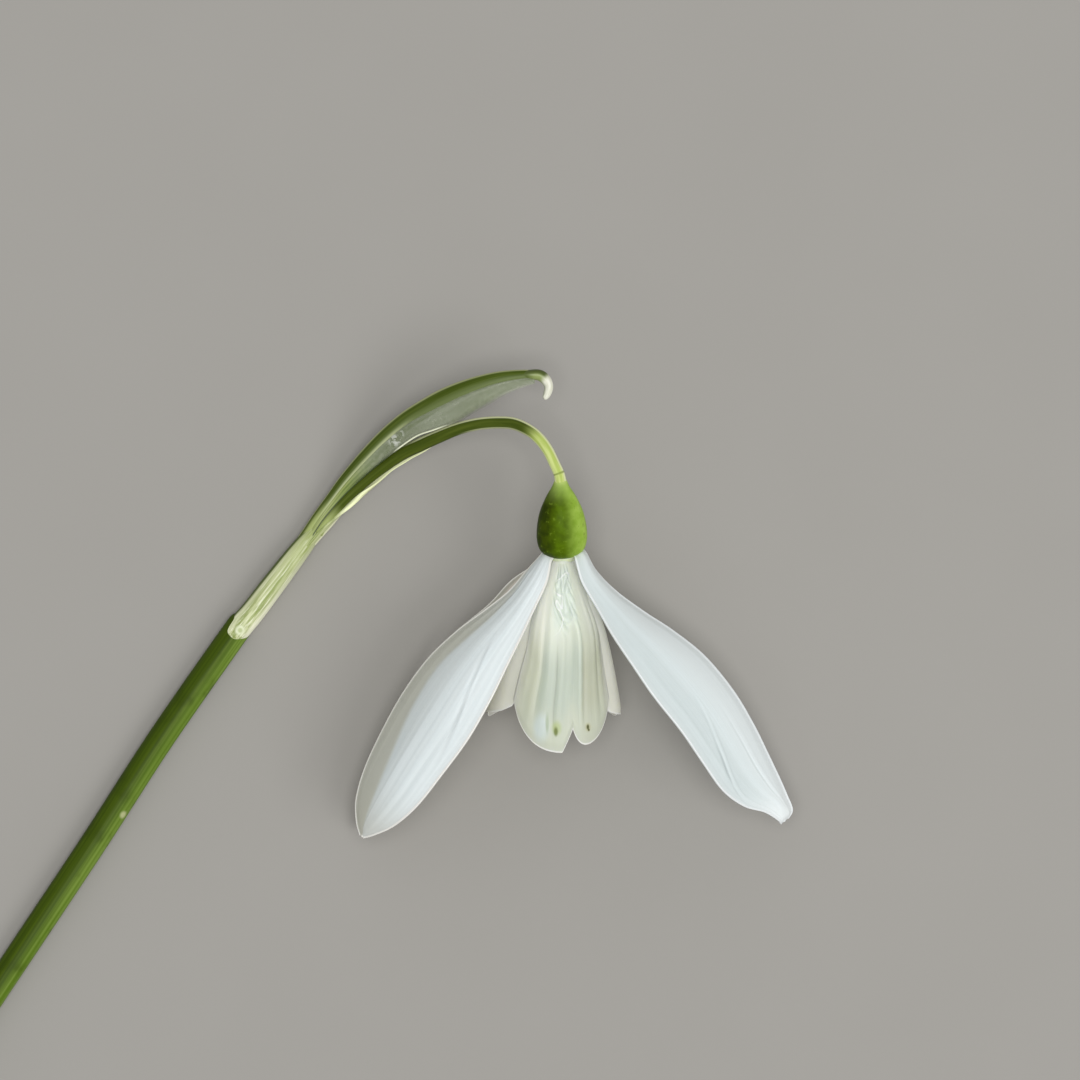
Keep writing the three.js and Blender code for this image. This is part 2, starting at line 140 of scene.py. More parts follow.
# Middle of the pedicel: x, y, height, radius
PEDICEL_ROWS = [
    [-21.9, -4.75, 1.6, 0.52], [-20.06, -2.38, 1.8, 0.47], [-18.31, -0.66, 2.28, 0.54],
    [-16.42, 0.9, 3.06, 0.57], [-14.42, 2.3, 4.12, 0.62], [-12.6, 3.18, 5.25, 0.62],
    [-10.85, 3.95, 6.5, 0.6], [-9.05, 4.64, 7.75, 0.56], [-7.25, 5.04, 8.9, 0.55],
    [-5.45, 5.15, 10.0, 0.55], [-4.1, 5.0, 10.9, 0.55], [-2.75, 4.37, 11.8, 0.53],
    [-1.85, 3.6, 12.3, 0.52], [-1.13, 2.61, 12.7, 0.5], [-0.6, 1.53, 12.95, 0.49],
    [-0.15, 0.55, 13.0, 0.5], [0.0, -0.15, 12.86, 0.53],
]

# Pale lines along the pedicel's two sides: place round it, strength, where they begin along it
PEDICEL_LINES = [(0.68, 1.0, 0.25), (0.3, 0.55, 0.42)]
PEDICEL_JOINT = 0.935  # where along it a thin dark line goes round

# Half outline of the ovary: distance from its neck, radius
OVARY_OUTLINE = [
    [-0.1, 0.45], [0.0, 0.52], [0.67, 0.8], [1.24, 1.14], [1.91, 1.49], [2.87, 1.89],
    [3.82, 2.13], [4.78, 2.25], [5.54, 2.26], [6.3, 2.1], [6.75, 1.8], [7.05, 1.35],
    [7.2, 0.8], [7.24, 0.05],
]
OVARY_LOBES = 3
OVARY_LOBE_HEIGHT = 0.012  # as a share of the radius

# Outer segments. Each lies along a straight chord in plan, with its outer side at the chord's right where
# outward is 1 and at its left where it is -1. Its rows give the distance along the chord, the reach to
# its outer and inner side, the height of its middle above the ovary's foot, and how steeply the blade
# falls on the whole towards its outer side. Its ribs and grooves are place across, half width, height,
# start and end, and a slanting one's place across at its end. Its painted shade zone says where across the
# blade the outer part painted greyer as shade begins, for each tenth of the length.
LEFT = {
    "start": [-1.215, -6.93],
    "end": [-17.955, -32.31],
    "outward": 1,
    "flat_shares": [0.354, 0.354],
    "rows": [
        [-0.25, 0.52, 0.55, 0.78, 1.25], [0.25, 0.6, 0.62, 1.0, 1.25],
        [2.0, 0.85, 1.28, 1.42, 1.27], [4.5, 1.15, 1.65, 1.65, 1.27],
        [7.2, 2.03, 2.05, 1.75, 1.27], [10.0, 3.05, 2.4, 1.6, 1.27],
        [13.5, 3.85, 2.85, 1.1, 1.27], [17.5, 4.03, 3.1, 0.3, 1.27],
        [21.5, 3.7, 2.9, -0.8, 1.27], [25.0, 3.15, 2.6, -1.9, 1.27],
        [27.6, 2.3, 1.9, -2.75, 1.27], [29.2, 1.2, 0.95, -3.3, 1.27],
        [30.1, 0.2, 0.2, -3.6, 1.27],
    ],
    "ribs": [
        [-0.84, 0.05, 0.023, 0.1, 0.95], [-0.22, 0.045, -0.05, 0.42, 0.66, -0.79],
        [-0.13, 0.045, 0.03, 0.42, 0.66, -0.69], [-0.44, 0.08, 0.027, 0.1, 0.9],
        [-0.22, 0.07, -0.023, 0.15, 0.95], [-0.02, 0.08, 0.027, 0.1, 0.85],
        [0.16, 0.04, -0.032, 0.55, 1.0], [0.36, 0.05, 0.023, 0.1, 0.8],
        [0.53, 0.03, -0.055, 0.08, 0.42], [0.66, 0.05, 0.032, 0.1, 0.7],
        [0.78, 0.04, -0.036, 0.15, 0.75], [0.9, 0.04, 0.023, 0.2, 0.9],
    ],
    "painted_shade_zone": [1.1, 1.0, 0.75, 0.55, 0.56, 0.66, 0.6, 0.45, 0.34, 0.25, 0.1],
}
RIGHT = {
    "start": [1.8, -6.75],
    "end": [20.295, -30.78],
    "outward": -1,
    "flat_shares": [0.38, 0.62],
    "rows": [
        [-0.3, 0.48, 0.52, 0.6, 1.6], [0.2, 0.52, 0.72, 0.78, 1.6],
        [2.0, 0.25, 1.42, 1.15, 1.5], [4.5, 0.5, 1.75, 1.4, 1.55],
        [7.5, 1.35, 2.15, 1.55, 1.48], [10.5, 2.4, 2.35, 1.5, 1.38],
        [14.0, 3.25, 2.55, 1.1, 1.28], [18.0, 3.4, 2.5, 0.35, 1.2],
        [21.5, 3.0, 2.7, -0.55, 1.15], [24.5, 2.4, 2.8, -1.5, 1.1],
        [26.8, 1.9, 2.15, -2.25, 1.05], [28.4, 1.5, 1.0, -2.9, 1.0],
        [29.7, 1.1, 0.5, -3.35, 1.0], [30.1, 0.35, 0.5, -3.5, 1.0],
    ],
    "ribs": [
        [-0.88, 0.05, 0.03, 0.4, 0.95], [-0.25, 0.035, -0.07, 0.57, 0.76, -0.82],
        [-0.17, 0.035, 0.055, 0.57, 0.76, -0.7], [-0.62, 0.05, 0.025, 0.5, 0.95],
        [-0.3, 0.12, 0.02, 0.1, 0.9], [0.1, 0.12, 0.018, 0.2, 0.9],
        [0.38, 0.03, -0.045, 0.6, 0.82], [0.5, 0.05, 0.02, 0.6, 1.0],
    ],
    "painted_shade_zone": [1.3, 1.3, 1.3, 1.3, 1.3, 1.3, 1.3, 1.2, 1.1, 1.0, 0.8],
}
# The third one lies beneath the left one, along the same chord
BACK = {
    **LEFT,
    "rows": [
        [-0.9, -0.6, 1.3, -1.3, 0.0], [-0.5, -0.47, 1.37, -1.85, 0.0],
        [0.4, 0.2, 0.75, -3.05, 0.4], [2.0, 0.85, 0.15, -3.6, 1.2],
        [3.8, 1.5, -0.2, -3.7, 2.2], [6.5, 1.95, -0.3, -3.8, 2.6],
        [10.0, 3.0, -0.2, -4.1, 2.7], [13.5, 3.6, -0.1, -4.45, 2.7],
        [17.5, 3.5, 0.1, -5.0, 2.7], [21.5, 3.05, 0.3, -5.3, 2.7],
        [25.0, 2.4, 0.45, -6.0, 2.7], [27.6, 1.6, 0.5, -6.95, 2.7],
        [29.0, 1.05, 0.3, -7.9, 2.7], [29.8, 0.35, 0.1, -8.9, 2.7],
    ],
    "ribs": [
        [-0.55, 0.09, 0.027, 0.1, 0.9], [-0.2, 0.1, -0.023, 0.1, 0.9],
        [0.1, 0.08, 0.027, 0.1, 0.9], [0.45, 0.09, -0.023, 0.1, 0.9],
    ],
    "painted_shade_zone": [0.4] * 11,
}

# Across an outer segment its inner part lies nearly flat, and past a soft fold its outer part falls off.
# A segment's flat shares say how much of the whole fall its inner part has, near its root and further on.
FOLD_PLACE = 0.3
FOLD_WIDTH = 0.2

# Outside radius of the cup that the inner segments form, at each step from the ovary's foot
CUP_RADII = [1.25, 2.25, 3.15, 3.95, 4.55, 5.05, 5.5, 5.9, 6.15, 6.2]
CUP_STEP = 2
CUP_START = -0.55
SHOULDER_POWER = 2.6
TUCKED_SHOULDER_POWER = 6
NOTCH_DEPTH = 2.15
NOTCH_SPREAD = 0.12
NOTCH_STEEP_SIDE = 0.165

# A rear segment's margin swells out a little and then runs on behind the front one, this far inside it
TUCK_SWELL = 0.3
TUCK_DEPTH = 0.36
CRINKLE_HEIGHT = 0.06

# On the front segment a grey facet and a streak, then each green mark with its brown flecks: place,
# radius, stretch lengthwise, colour
INNER_MARKS = [
    ([-1.75, -22.2], 1.0, 1.8, (0.57, 0.64, 0.60)),
    ([-1.2, -21.8], 0.22, 6.0, (0.42, 0.49, 0.37)),
    ([-0.36, -22.25], 0.62, 1.4, (0.46, 0.53, 0.28)),
    ([-0.42, -22.58], 0.27, 2.2, (0.17, 0.21, 0.05)),
    ([2.46, -22.2], 0.36, 1.6, (0.50, 0.50, 0.32)),
    ([2.45, -22.17], 0.17, 2.0, (0.08, 0.09, 0.02)),
    ([2.53, -22.43], 0.13, 1.4, (0.10, 0.11, 0.03)),
]

# Each inner segment: its length, how far its shoulders fall back, middle and half width in degrees round
# the axis from foot to mouth, the place of its notch, and its ribs as on an outer segment. A rear one has
# one side, -1 or 1, whose margin is tucked in behind the front segment and turns on by some degrees.
FRONT_INNER = {
    "tucked_side": 0,
    "tuck_turn": 0,
    "length": 16.35,
    "shoulder": 4.2,
    "spans": [[83, 54], [80, 60], [75, 61], [76, 54], [78.5, 53], [78.5, 54]],
    "notch": -0.13,
    "ribs": [
        [0.8, 0.07, 0.05, 0.2, 0.85], [0.64, 0.06, 0.07, 0.3, 0.97],
        [0.54, 0.03, -0.05, 0.4, 0.9], [0.41, 0.07, 0.08, 0.25, 0.95],
        [0.25, 0.025, -0.08, 0.45, 0.97, 0.2], [0.12, 0.05, 0.09, 0.35, 0.9],
        [-0.05, 0.06, 0.04, 0.4, 1.0], [-0.24, 0.028, 0.12, 0.3, 0.9, -0.29],
        [-0.34, 0.05, -0.06, 0.4, 0.9], [-0.6, 0.05, 0.07, 0.2, 0.97],
        [-0.7, 0.03, -0.08, 0.3, 0.9], [-0.79, 0.05, 0.07, 0.35, 0.97],
    ],
}
REAR_RIB = [0.055, 0.06, 0.1, 0.97]
LEFT_INNER = {
    "tucked_side": -1,
    "tuck_turn": 46,
    "length": 16.1,
    "shoulder": 5.0,
    "spans": [[196, 40], [201, 43], [210, 45], [218, 46], [221, 46], [222, 47]],
    "notch": 0.33,
    "ribs": [[place, *REAR_RIB] for place in (-0.7, -0.4, -0.1, 0.2, 0.55)],
}
RIGHT_INNER = {
    "tucked_side": 1,
    "tuck_turn": 34,
    "length": 15.5,
    "shoulder": 3.4,
    "spans": [[333, 39], [329, 40], [322, 41], [318, 41], [317, 40], [317, 40]],
    "notch": -0.12,
    "ribs": [[place, *REAR_RIB] for place in (-0.6, -0.35, 0.05, 0.3, 0.6)],
}

# Stamens on their disc, and the style. The rows of the disc and the style, and of the collar between the
# ovary and the segments, are distance from the ovary's foot and radius.
STAMENS = 6
DISC_ROWS = [[0.2, 0.3], [0.4, 0.55], [0.75, 0.58], [0.95, 0.5], [1.05, 0.2], [1.06, 0.02]]
# Each row of an anther: distance from the ovary's foot, distance from the axis, half width
ANTHER_ROWS = [
    [0.7, 0.4, 0.14], [1.6, 0.82, 0.15], [1.85, 0.94, 0.26],
    [2.4, 1.0, 0.3], [3.4, 1.05, 0.31], [4.4, 1.0, 0.27],
    [5.2, 0.92, 0.21], [6.0, 0.8, 0.12], [6.4, 0.74, 0.03],
]
STYLE_ROWS = [[1.0, 0.16], [1.25, 0.17], [4.0, 0.2], [7.2, 0.24], [7.9, 0.17], [8.1, 0.05]]
STYLE_ENDS = [1.25, 8.1]  # of the style in the solids
COLLAR_ROWS = [
    [-0.75, 1.0], [-0.5, 1.25], [-0.2, 1.2], [0.2, 1.02], [0.55, 0.9], [0.75, 0.7],
    [0.8, 0.05],
]


def along(rows, u):
    """Rows of a table at each u from 0 to 1, on a smooth curve through its rows."""
    table = np.asarray(rows, float)
    last = len(table) - 1
    table = np.vstack([2 * table[0] - table[1], table, 2 * table[-1] - table[-2]])
    place = np.clip(np.asarray(u, float), 0, 1) * last
    k = np.minimum(place.astype(int), last - 1)
    f = (place - k)[..., None]
    p0, p1, p2, p3 = (table[k + step] for step in range(4))
    square = 2 * p0 - 5 * p1 + 4 * p2 - p3
    cube = 3 * p1 - p0 - 3 * p2 + p3
    return p1 + 0.5 * f * (p2 - p0 + f * (square + f * cube))


def smooth(low, high, value):
    """From 0 at low to 1 at high, eased at both ends."""
    t = np.clip((value - low) / (high - low), 0, 1)
    return t * t * (3 - 2 * t)


def plan_shift():
    """From the tables' origin to the solids' own, read off the style, which stands round the axis."""
    low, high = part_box("style")
    ends = [FOOT + AXIS * distance for distance in STYLE_ENDS]
    shift = np.array((low + high) / 2) / MM - (ends[0] + ends[1]) / 2
    return np.array([shift[0], shift[1], 0.0])


SHIFT = plan_shift()


# Meshes

def outward_faces(points, faces):
    """The faces, turned so that they point out of the closed body."""
    first, second, third, fourth = (points[[face[k] for face in faces]] for k in (0, 1, 2, -1))
    volume = np.einsum("ij,ij->i", first, np.cross(second, third)).sum()
    volume += np.einsum("ij,ij->i", first, np.cross(third, fourth)).sum()
    return faces if volume > 0 else [face[::-1] for face in faces]


def placed(name, data):
    """A new object in the scene."""
    made = bpy.data.objects.new(name, data)
    bpy.context.scene.collection.objects.link(made)
    return made


def piece(name, node, body, material, values):
    """A visible piece from points in millimetres and faces, with named values at each point."""
    points, faces = body
    faces = outward_faces(points - points.mean(0), faces)
    mesh = bpy.data.meshes.new(name)
    mesh.from_pydata([tuple(p) for p in (points + SHIFT) * MM], [], faces)
    for key, numbers in values.items():
        layer = mesh.attributes.new(key, "FLOAT", "POINT")
        layer.data.foreach_set("value", np.asarray(numbers, np.float32).ravel())
    mesh.shade_smooth()
    mesh.materials.append(material)
    made = placed(name, mesh)
    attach(made, "root")
    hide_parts(node)


def grid_faces(rows, cols, start=0, closed=False):
    faces = []
    for i in range(rows - 1):
        for j in range(cols if closed else cols - 1):
            a = start + i * cols + j
            b = start + i * cols + (j + 1) % cols
            faces.append((a, a + cols, b + cols, b))
    return faces


def skin(middle, above, below):
    """A closed blade from a grid of middle points: one face that far above it and one that far below."""
    lengthwise = np.gradient(middle, axis=0)
    across = np.gradient(middle, axis=1)
    normal = unit(np.cross(across, lengthwise))
    upper = middle + normal * above[..., None]
    lower = middle - normal * below[..., None]
    rows, cols = middle.shape[:2]
    count = rows * cols
    faces = grid_faces(rows, cols)
    faces += [face[::-1] for face in grid_faces(rows, cols, count)]
    rim = [i * cols for i in range(rows)]
    rim += [(rows - 1) * cols + j for j in range(1, cols)]
    rim += [i * cols + cols - 1 for i in range(rows - 2, -1, -1)]
    rim += range(cols - 2, 0, -1)
    for k, a in enumerate(rim):
        b = rim[(k + 1) % len(rim)]
        faces.append((b, a, a + count, b + count))
    return np.concatenate([upper.reshape(-1, 3), lower.reshape(-1, 3)]), faces


def both_faces(values):
    """Values over a blade's grid, once for its upper face and once for its lower one."""
    return {key: np.concatenate([np.ravel(numbers)] * 2) for key, numbers in values.items()}


def tube(rings):
    """A closed body through rings of points, with a middle point on each end."""
    count, sides = rings.shape[:2]
    points = np.concatenate([rings.reshape(-1, 3), rings[0].mean(0)[None], rings[-1].mean(0)[None]])
    faces = grid_faces(count, sides, closed=True)
    head, tail = count * sides, count * sides + 1
    last = (count - 1) * sides
    for j in range(sides):
        nxt = (j + 1) % sides
        faces.append((head, j, nxt))
        faces.append((tail, last + nxt, last + j))
    return points, faces


def shares_round(sides):
    """How far round a ring each of its points is, as a share of a whole turn."""
    return (np.arange(sides) + 0.5) / sides


def rings_along(rows, count, sides, upright=True, profile=None):
    """Rings round a path whose rows are x, y, height, half width in plan and half depth."""
    rings = []
    turns = shares_round(sides) * 2 * math.pi
    for u in spread(count):
        x, y, z, width, depth = along(rows, u)
        tangent = (along(rows, min(u + TANGENT_STEP, 1)) - along(rows, max(u - TANGENT_STEP, 0)))[:3]
        if upright:
            tangent[2] = 0
        tangent = unit(tangent)
        right = unit([tangent[1], -tangent[0], 0.0])
        up = np.cross(right, tangent)
        swell = np.ones(sides) if profile is None else profile(u, turns)
        ring = np.array([x, y, z]) + np.outer(width * np.sin(turns) * swell, right)
        rings.append(ring - np.outer(depth * np.cos(turns) * swell, up))
    return np.array(rings)


def tube_values(rings):
    """How far along a tube each of its points is, and how far round."""
    count, sides = rings.shape[:2]
    return {
        "along": np.append(np.repeat(spread(count), sides), [0.0, 1.0]),
        "around": np.append(np.tile(shares_round(sides), count), [0.5, 0.5]),
    }


# Materials

# Places of a Mix node's two colours among its inputs, and of its mixed colour among its outputs
MIX_COLOURS = (6, 7)
MIX_RESULT = 2

# Lines along a wing's free edge, a pale rim, a painted shadow in the slit and a pale lip: on which wing,
# how strong, from where to where it fades off from the edge, where along the wing it comes in and goes
# out, and its colour
WING_LINES = [
    ("rear_membrane", 1.0, 0.5, 0.62, (0.17, 0.23), (0.55, 0.68), (0.96, 1.0, 0.6)),
    # Painted shadow: a dark line where the slit between the wings lies in shade
    ("front_membrane", 0.95, 0.08, 0.15, (0.07, 0.1), (0.37, 0.42), (0.03, 0.05, 0.01)),
    ("front_membrane", 0.9, 0.08, 0.2, (0.39, 0.44), (0.56, 0.64), (0.9, 0.93, 0.7)),
]

CREAM = (1.0, 0.99, 0.92)
WHITE = (0.9, 0.95, 0.96)

# Each outer segment's colours, of its blade, streaks, tip and margin, then the seed and strength of the
# streaks, and how much painted light pales its side away from the bloom's middle. Light and shade are
# painted into these colours: the right blade is darker than the left as painted shade, and the back
# one's beige is painted shade.
OUTER_LOOKS = {
    "outer_left": [(0.8, 0.87, 0.88), (0.72, 0.79, 0.8), (0.62, 0.64, 0.6), CREAM, 4, 1.1, 0.0],
    "outer_right": [(0.65, 0.72, 0.72), (0.59, 0.66, 0.66), (0.86, 0.92, 0.92), WHITE, 14, 0.45, 0.85],
    "outer_back": [(0.76, 0.7, 0.62), (0.66, 0.6, 0.52), (0.7, 0.68, 0.62), CREAM, 24, 1.0, 0.0],
}

# Colours of the front and the rear inner segments: blade, streaks and mouth, and the streaks' seed. The
# rear ones are painted far paler than the front one, as painted light where they lie in shade, and the
# front one's darker blade is partly its own tone and partly painted shade.
INNER_LOOKS = {
    "inner_front": [(0.48, 0.54, 0.455), (0.45, 0.495, 0.4), (0.57, 0.6, 0.49), 11],
    "inner_rear": [(0.98, 0.96, 0.82), (0.94, 0.92, 0.77), (0.84, 0.83, 0.69), 17],
}
INNER_CONTRAST = 0.5
# Painted shade in the grooves: their colour, as a share of the streaks' colour
GROOVE_SHADE = 0.72  # colour of the grooves, as a share of the streaks' colour


class Paint:
    """A node material whose colour is built up in layers.

    Where a number is asked for, a name stands for the values of that name at the points of the piece.
    """

    def __init__(self, name):
        self.material = bpy.data.materials.new(name)
        self.material.use_nodes = True
        self.tree = self.material.node_tree
        self.shader = self.tree.nodes["Principled BSDF"]
        self.colour = None

    def put(self, socket, value):
        if isinstance(value, bpy.types.NodeSocket):
            self.tree.links.new(value, socket)
        elif isinstance(value, tuple) and len(value) == 3 and socket.type == "RGBA":
            socket.default_value = (*value, 1.0)
        else:
            socket.default_value = value

    def node(self, kind, output, inputs, **settings):
        """One output of a new node with these settings and inputs, each by its name or its place."""
        node = self.tree.nodes.new("ShaderNode" + kind)
        for name, value in settings.items():
            setattr(node, name, value)
        for name, value in inputs.items():
            self.put(node.inputs[name], value)
        return node.outputs[output]

    def number(self, value):
        named = isinstance(value, str)
        return self.node("Attribute", "Fac", {}, attribute_name=value) if named else value

    def place(self):
        return self.node("TexCoord", "Object", {})

    def maths(self, operation, *values):
        return self.node("Math", 0, dict(enumerate(map(self.number, values))), operation=operation)

    def times(self, first, *others):
        product = self.number(first)
        for other in others:
            product = self.maths("MULTIPLY", product, other)
        return product

    def gap(self, value, place):
        """How far a number is from a place."""
        return self.maths("ABSOLUTE", self.maths("SUBTRACT", value, place))

    def ramp(self, value, low, high, at_low=0.0, at_high=1.0):
        """A number eased from at_low to at_high as the value goes from low to high, and flat past them."""
        numbers = enumerate((self.number(value), low, high, at_low, at_high))
        return self.node("MapRange", 0, dict(numbers), interpolation_type="SMOOTHSTEP")

    def near(self, spot, radius, stretch=1.0):
        """1 close to a spot, in millimetres, and 0 past the radius, stretched along Y.

        A spot of two numbers is at every height.
        """
        scale = np.array([1.0, 1.0 / stretch, float(len(spot) == 3)])
        centre = tuple((np.append(spot, 0)[:3] + SHIFT) * MM * scale)
        scaled = self.node("VectorMath", 0, {0: self.place(), 1: tuple(scale)}, operation="MULTIPLY")
        distance = self.node("VectorMath", "Value", {0: scaled, 1: centre}, operation="DISTANCE")
        return self.ramp(distance, 0.3 * radius * MM, radius * MM, 1, 0)

    def noise(self, vector, scale, detail=3.0, roughness=0.5):
        inputs = {"Vector": vector, "Scale": scale, "Detail": detail, "Roughness": roughness}
        return self.node("TexNoise", "Fac", inputs)

    def streaks(self, across, along_scale, across_scale, seed):
        """Noise drawn out along a blade or stem."""
        inputs = {
            "X": self.times(across, across_scale),
            "Y": self.times("along", along_scale),
            "Z": float(seed),
        }
        return self.noise(self.node("CombineXYZ", 0, inputs), 1.0, 4.0, 0.55)

    def mix(self, share, first, second):
        """The first colour where the share is 0, and the second where it is 1."""
        inputs = {"Factor": self.number(share), MIX_COLOURS[0]: first, MIX_COLOURS[1]: second}
        return self.node("Mix", MIX_RESULT, inputs, data_type="RGBA")

    def two_tone(self, noise, first, second, low=0.35, high=0.7):
        """The first colour where a noise is low, and the second where it is high."""
        return self.mix(self.ramp(noise, low, high), first, second)

    def lay(self, colour, *shares):
        """Lay a colour over what is there, as strongly as the product of the shares."""
        self.colour = self.mix(self.times(*shares), self.colour, colour)

    def fade(self, colour, value, *ends):
        """Lay a colour over what is there, as strongly as a ramp says."""
        self.lay(colour, self.ramp(value, *ends))

    def bump(self, height, strength, distance):
        inputs = {"Height": height, "Strength": strength, "Distance": distance * MM}
        return self.node("Bump", "Normal", inputs)

    def done(self, **values):
        """The material, with its colour and the shader's other values put in."""
        self.put(self.shader.inputs["Base Color"], self.colour)
        for name, value in values.items():
            self.put(self.shader.inputs[name.replace("_", " ")], value)
        return self.material


def petal_paint(name, body, shade, seed, contrast):
    """A streaked ground for a petal, and the height of its fine relief."""
    paint = Paint(name)
    streak = paint.streaks("across", 1.6, 9.0, seed)
    fine = paint.streaks("across", 3.0, 40.0, seed + 3)
    paint.colour = paint.mix(paint.ramp(streak, 0.35, 0.7, 0, 0.8 * contrast), body, shade)
    paint.fade(shade, fine, 0.5, 0.75, 0, 0.4 * contrast)
    # Painted shade: the grooves are laid darker
    groove = tuple(GROOVE_SHADE * channel for channel in shade)
    paint.fade(groove, "relief", -0.07, 0, 0.75, 0)
    grain = paint.noise(paint.place(), 5200.0, 2.0)
    return paint, paint.maths("MULTIPLY_ADD", fine, 0.6, paint.times(grain, 0.12))


def outer_paint(name):
    body, shade, tip, margin, seed, contrast, painted_light_outer_side = OUTER_LOOKS[name]
    paint, height = petal_paint(name, body, shade, seed, contrast)
    # Painted light: the side away from the bloom's middle is laid paler
    paint.fade((0.9, 0.99, 1.0), "across", -0.5, 0.55, 0, painted_light_outer_side)
    # The tip colour holds painted shade on the left segment and painted light on the right one
    paint.fade(tip, "along", 0.7, 0.92, 0, 0.9)
    # Painted shade: the outer part of the blade is laid greyer, more strongly further along it
    paint.lay((0.58, 0.58, 0.49), "painted_shade_zone", paint.ramp("along", 0.15, 0.45, 0.45, 0.82))
    paint.fade((0.66, 0.68, 0.52), "along", 0, 0.12, 0.5, 0)
    # Painted highlight along the thin translucent margin
    paint.fade(margin, "edge", 0.12, 0.24, 1, 0)
    return paint.done(
        Roughness=0.46, Specular_IOR_Level=0.3, Normal=paint.bump(height, 0.35, 0.06),
        Subsurface_Weight=0.3, Subsurface_Radius=(1.0, 0.98, 0.96), Subsurface_Scale=0.0006,
    )


def inner_paint(name):
    body, shade, mouth, seed = INNER_LOOKS[name]
    paint, height = petal_paint(name, body, shade, seed, INNER_CONTRAST)
    # A cream tint on the front segment's left margin, and painted shadow of the right outer segment over
    # its right third
    right_side = paint.ramp("across", -0.15, 0.1, 1, 0)
    cream_and_shadow = paint.mix(right_side, (0.62, 0.63, 0.49), (0.53, 0.535, 0.41))
    paint.fade(cream_and_shadow, "cream_and_shadow", 0, 1.0, 0, 0.75)
    paint.fade(mouth, "along", 0.72, 0.92, 0, 0.8)
    # Painted light: the sides, and the claw most of all at its sides, are laid paler against the shade
    # there
    side = paint.gap("across", 0.0)
    paint.fade((0.84, 0.84, 0.71), side, 0.72, 0.95, 0, 0.6)
    claw = paint.mix(paint.ramp(side, 0.3, 0.75), (0.75, 0.79, 0.66), (0.98, 0.98, 0.86))
    paint.fade(claw, "along", 0.3, 0.6, 0.85, 0)
    paint.lay((0.68, 0.76, 0.66), "glassy")
    # Painted highlights: thin bright squiggles over the crinkled claw, which also raise its bump
    folds = paint.gap(paint.noise(paint.place(), 420.0, 1.0), 0.5)
    crease_highlight = paint.times(paint.ramp(folds, 0.004, 0.022, 0.8, 0), "glassy")
    paint.lay((0.98, 1.0, 0.94), crease_highlight)
    for spot, radius, stretch, mark_colour in INNER_MARKS:
        paint.lay(mark_colour, paint.near(spot, radius, stretch))
    paint.fade((1.0, 1.0, 0.9), "edge", 0.05, 0.22, 0.9, 0)
    height = paint.maths("MULTIPLY_ADD", crease_highlight, 1.2, height)
    return paint.done(
        Roughness=0.4, Normal=paint.bump(height, 0.4, 0.06),
        Subsurface_Weight=0.35, Subsurface_Radius=(1.0, 1.0, 0.7), Subsurface_Scale=0.0007,
    )


def scape_paint():
    paint = Paint("stalk")
    streak = paint.streaks("around", 3.0, 26.0, 2)
    # Painted shade on the upper left side and painted light on the lower right side, which faces the light
    dark = paint.two_tone(streak, (0.034, 0.06, 0.002), (0.062, 0.1, 0.004), 0.3, 0.75)
    light = paint.two_tone(streak, (0.1, 0.18, 0.012), (0.22, 0.32, 0.06), 0.3, 0.75)
    paint.colour = paint.mix(paint.ramp("sunny", -0.25, 1.0), dark, light)
    mottle = paint.noise(paint.place(), 420.0, 4.0)
    paint.fade((0.03, 0.05, 0.002), mottle, 0.5, 0.75, 0, 0.5)
    paint.lay((0.42, 0.45, 0.22), paint.near(SCAPE_SCAR, 0.5))
    return paint.done(Roughness=0.45, Specular_IOR_Level=0.08, Normal=paint.bump(streak, 0.3, 0.05))


def sheath_paint():
    paint = Paint("sheath")
    streak = paint.streaks("around", 3.5, 16.0, 6)
    fine = paint.streaks("around", 7.0, 46.0, 9)
    paint.colour = paint.two_tone(streak, (0.26, 0.32, 0.09), (0.6, 0.64, 0.36), 0.38, 0.6)
    paint.fade((0.86, 0.87, 0.66), fine, 0.52, 0.66, 0, 0.9)
    paint.fade((0.19, 0.24, 0.05), fine, 0.34, 0.46, 0.6, 0)
    # The right side is paler: partly the sheath membrane's own cream and partly painted light from the
    # right
    paint.fade((0.98, 0.98, 0.76), "sunny", 0.5, 0.92, 0, 0.9)
    paint.fade((0.84, 0.87, 0.58), "sunny", -0.8, -0.2, 0.75, 0)
    paint.fade((0.34, 0.4, 0.14), "along", 0.35, 1.0, 0, 0.8)
    paint.lay((0.075, 0.115, 0.01), "keel")
    paint.fade((0.62, 0.67, 0.34), "along", 0.035, 0.09, 0.8, 0)
    paint.lay((0.78, 0.82, 0.58), paint.near(BASE_SPOT, 0.62))
    paint.lay((0.46, 0.52, 0.26), paint.near(BASE_SPOT, 0.36))
    return paint.done(Roughness=0.36, Specular_IOR_Level=0.25, Normal=paint.bump(fine, 0.45, 0.08))


def keel_paint():
    paint = Paint("keel")
    streak = paint.streaks("across", 5.0, 10.0, 3)
    paint.colour = paint.two_tone(streak, (0.05, 0.078, 0.004), (0.085, 0.12, 0.016))
    side = paint.gap("across", 0.0)
    paint.fade((0.15, 0.19, 0.07), side, 0.55, 1.0, 0, 0.9)
    paint.fade((0.42, 0.46, 0.22), side, 0.22, 0.34, 0.9, 0)
    folded = paint.ramp("across", 0.78, 0.96, 0, 0.7)
    paint.lay((0.52, 0.56, 0.32), folded, paint.ramp("along", 0.42, 0.54, 1, 0))
    root = paint.ramp(side, 0.4, 0.75)
    paint.lay((0.34, 0.4, 0.14), root, paint.ramp("along", 0.1, 0.24, 1, 0))
    return paint.done(Roughness=0.42, Specular_IOR_Level=0.12, Normal=paint.bump(streak, 0.4, 0.06))


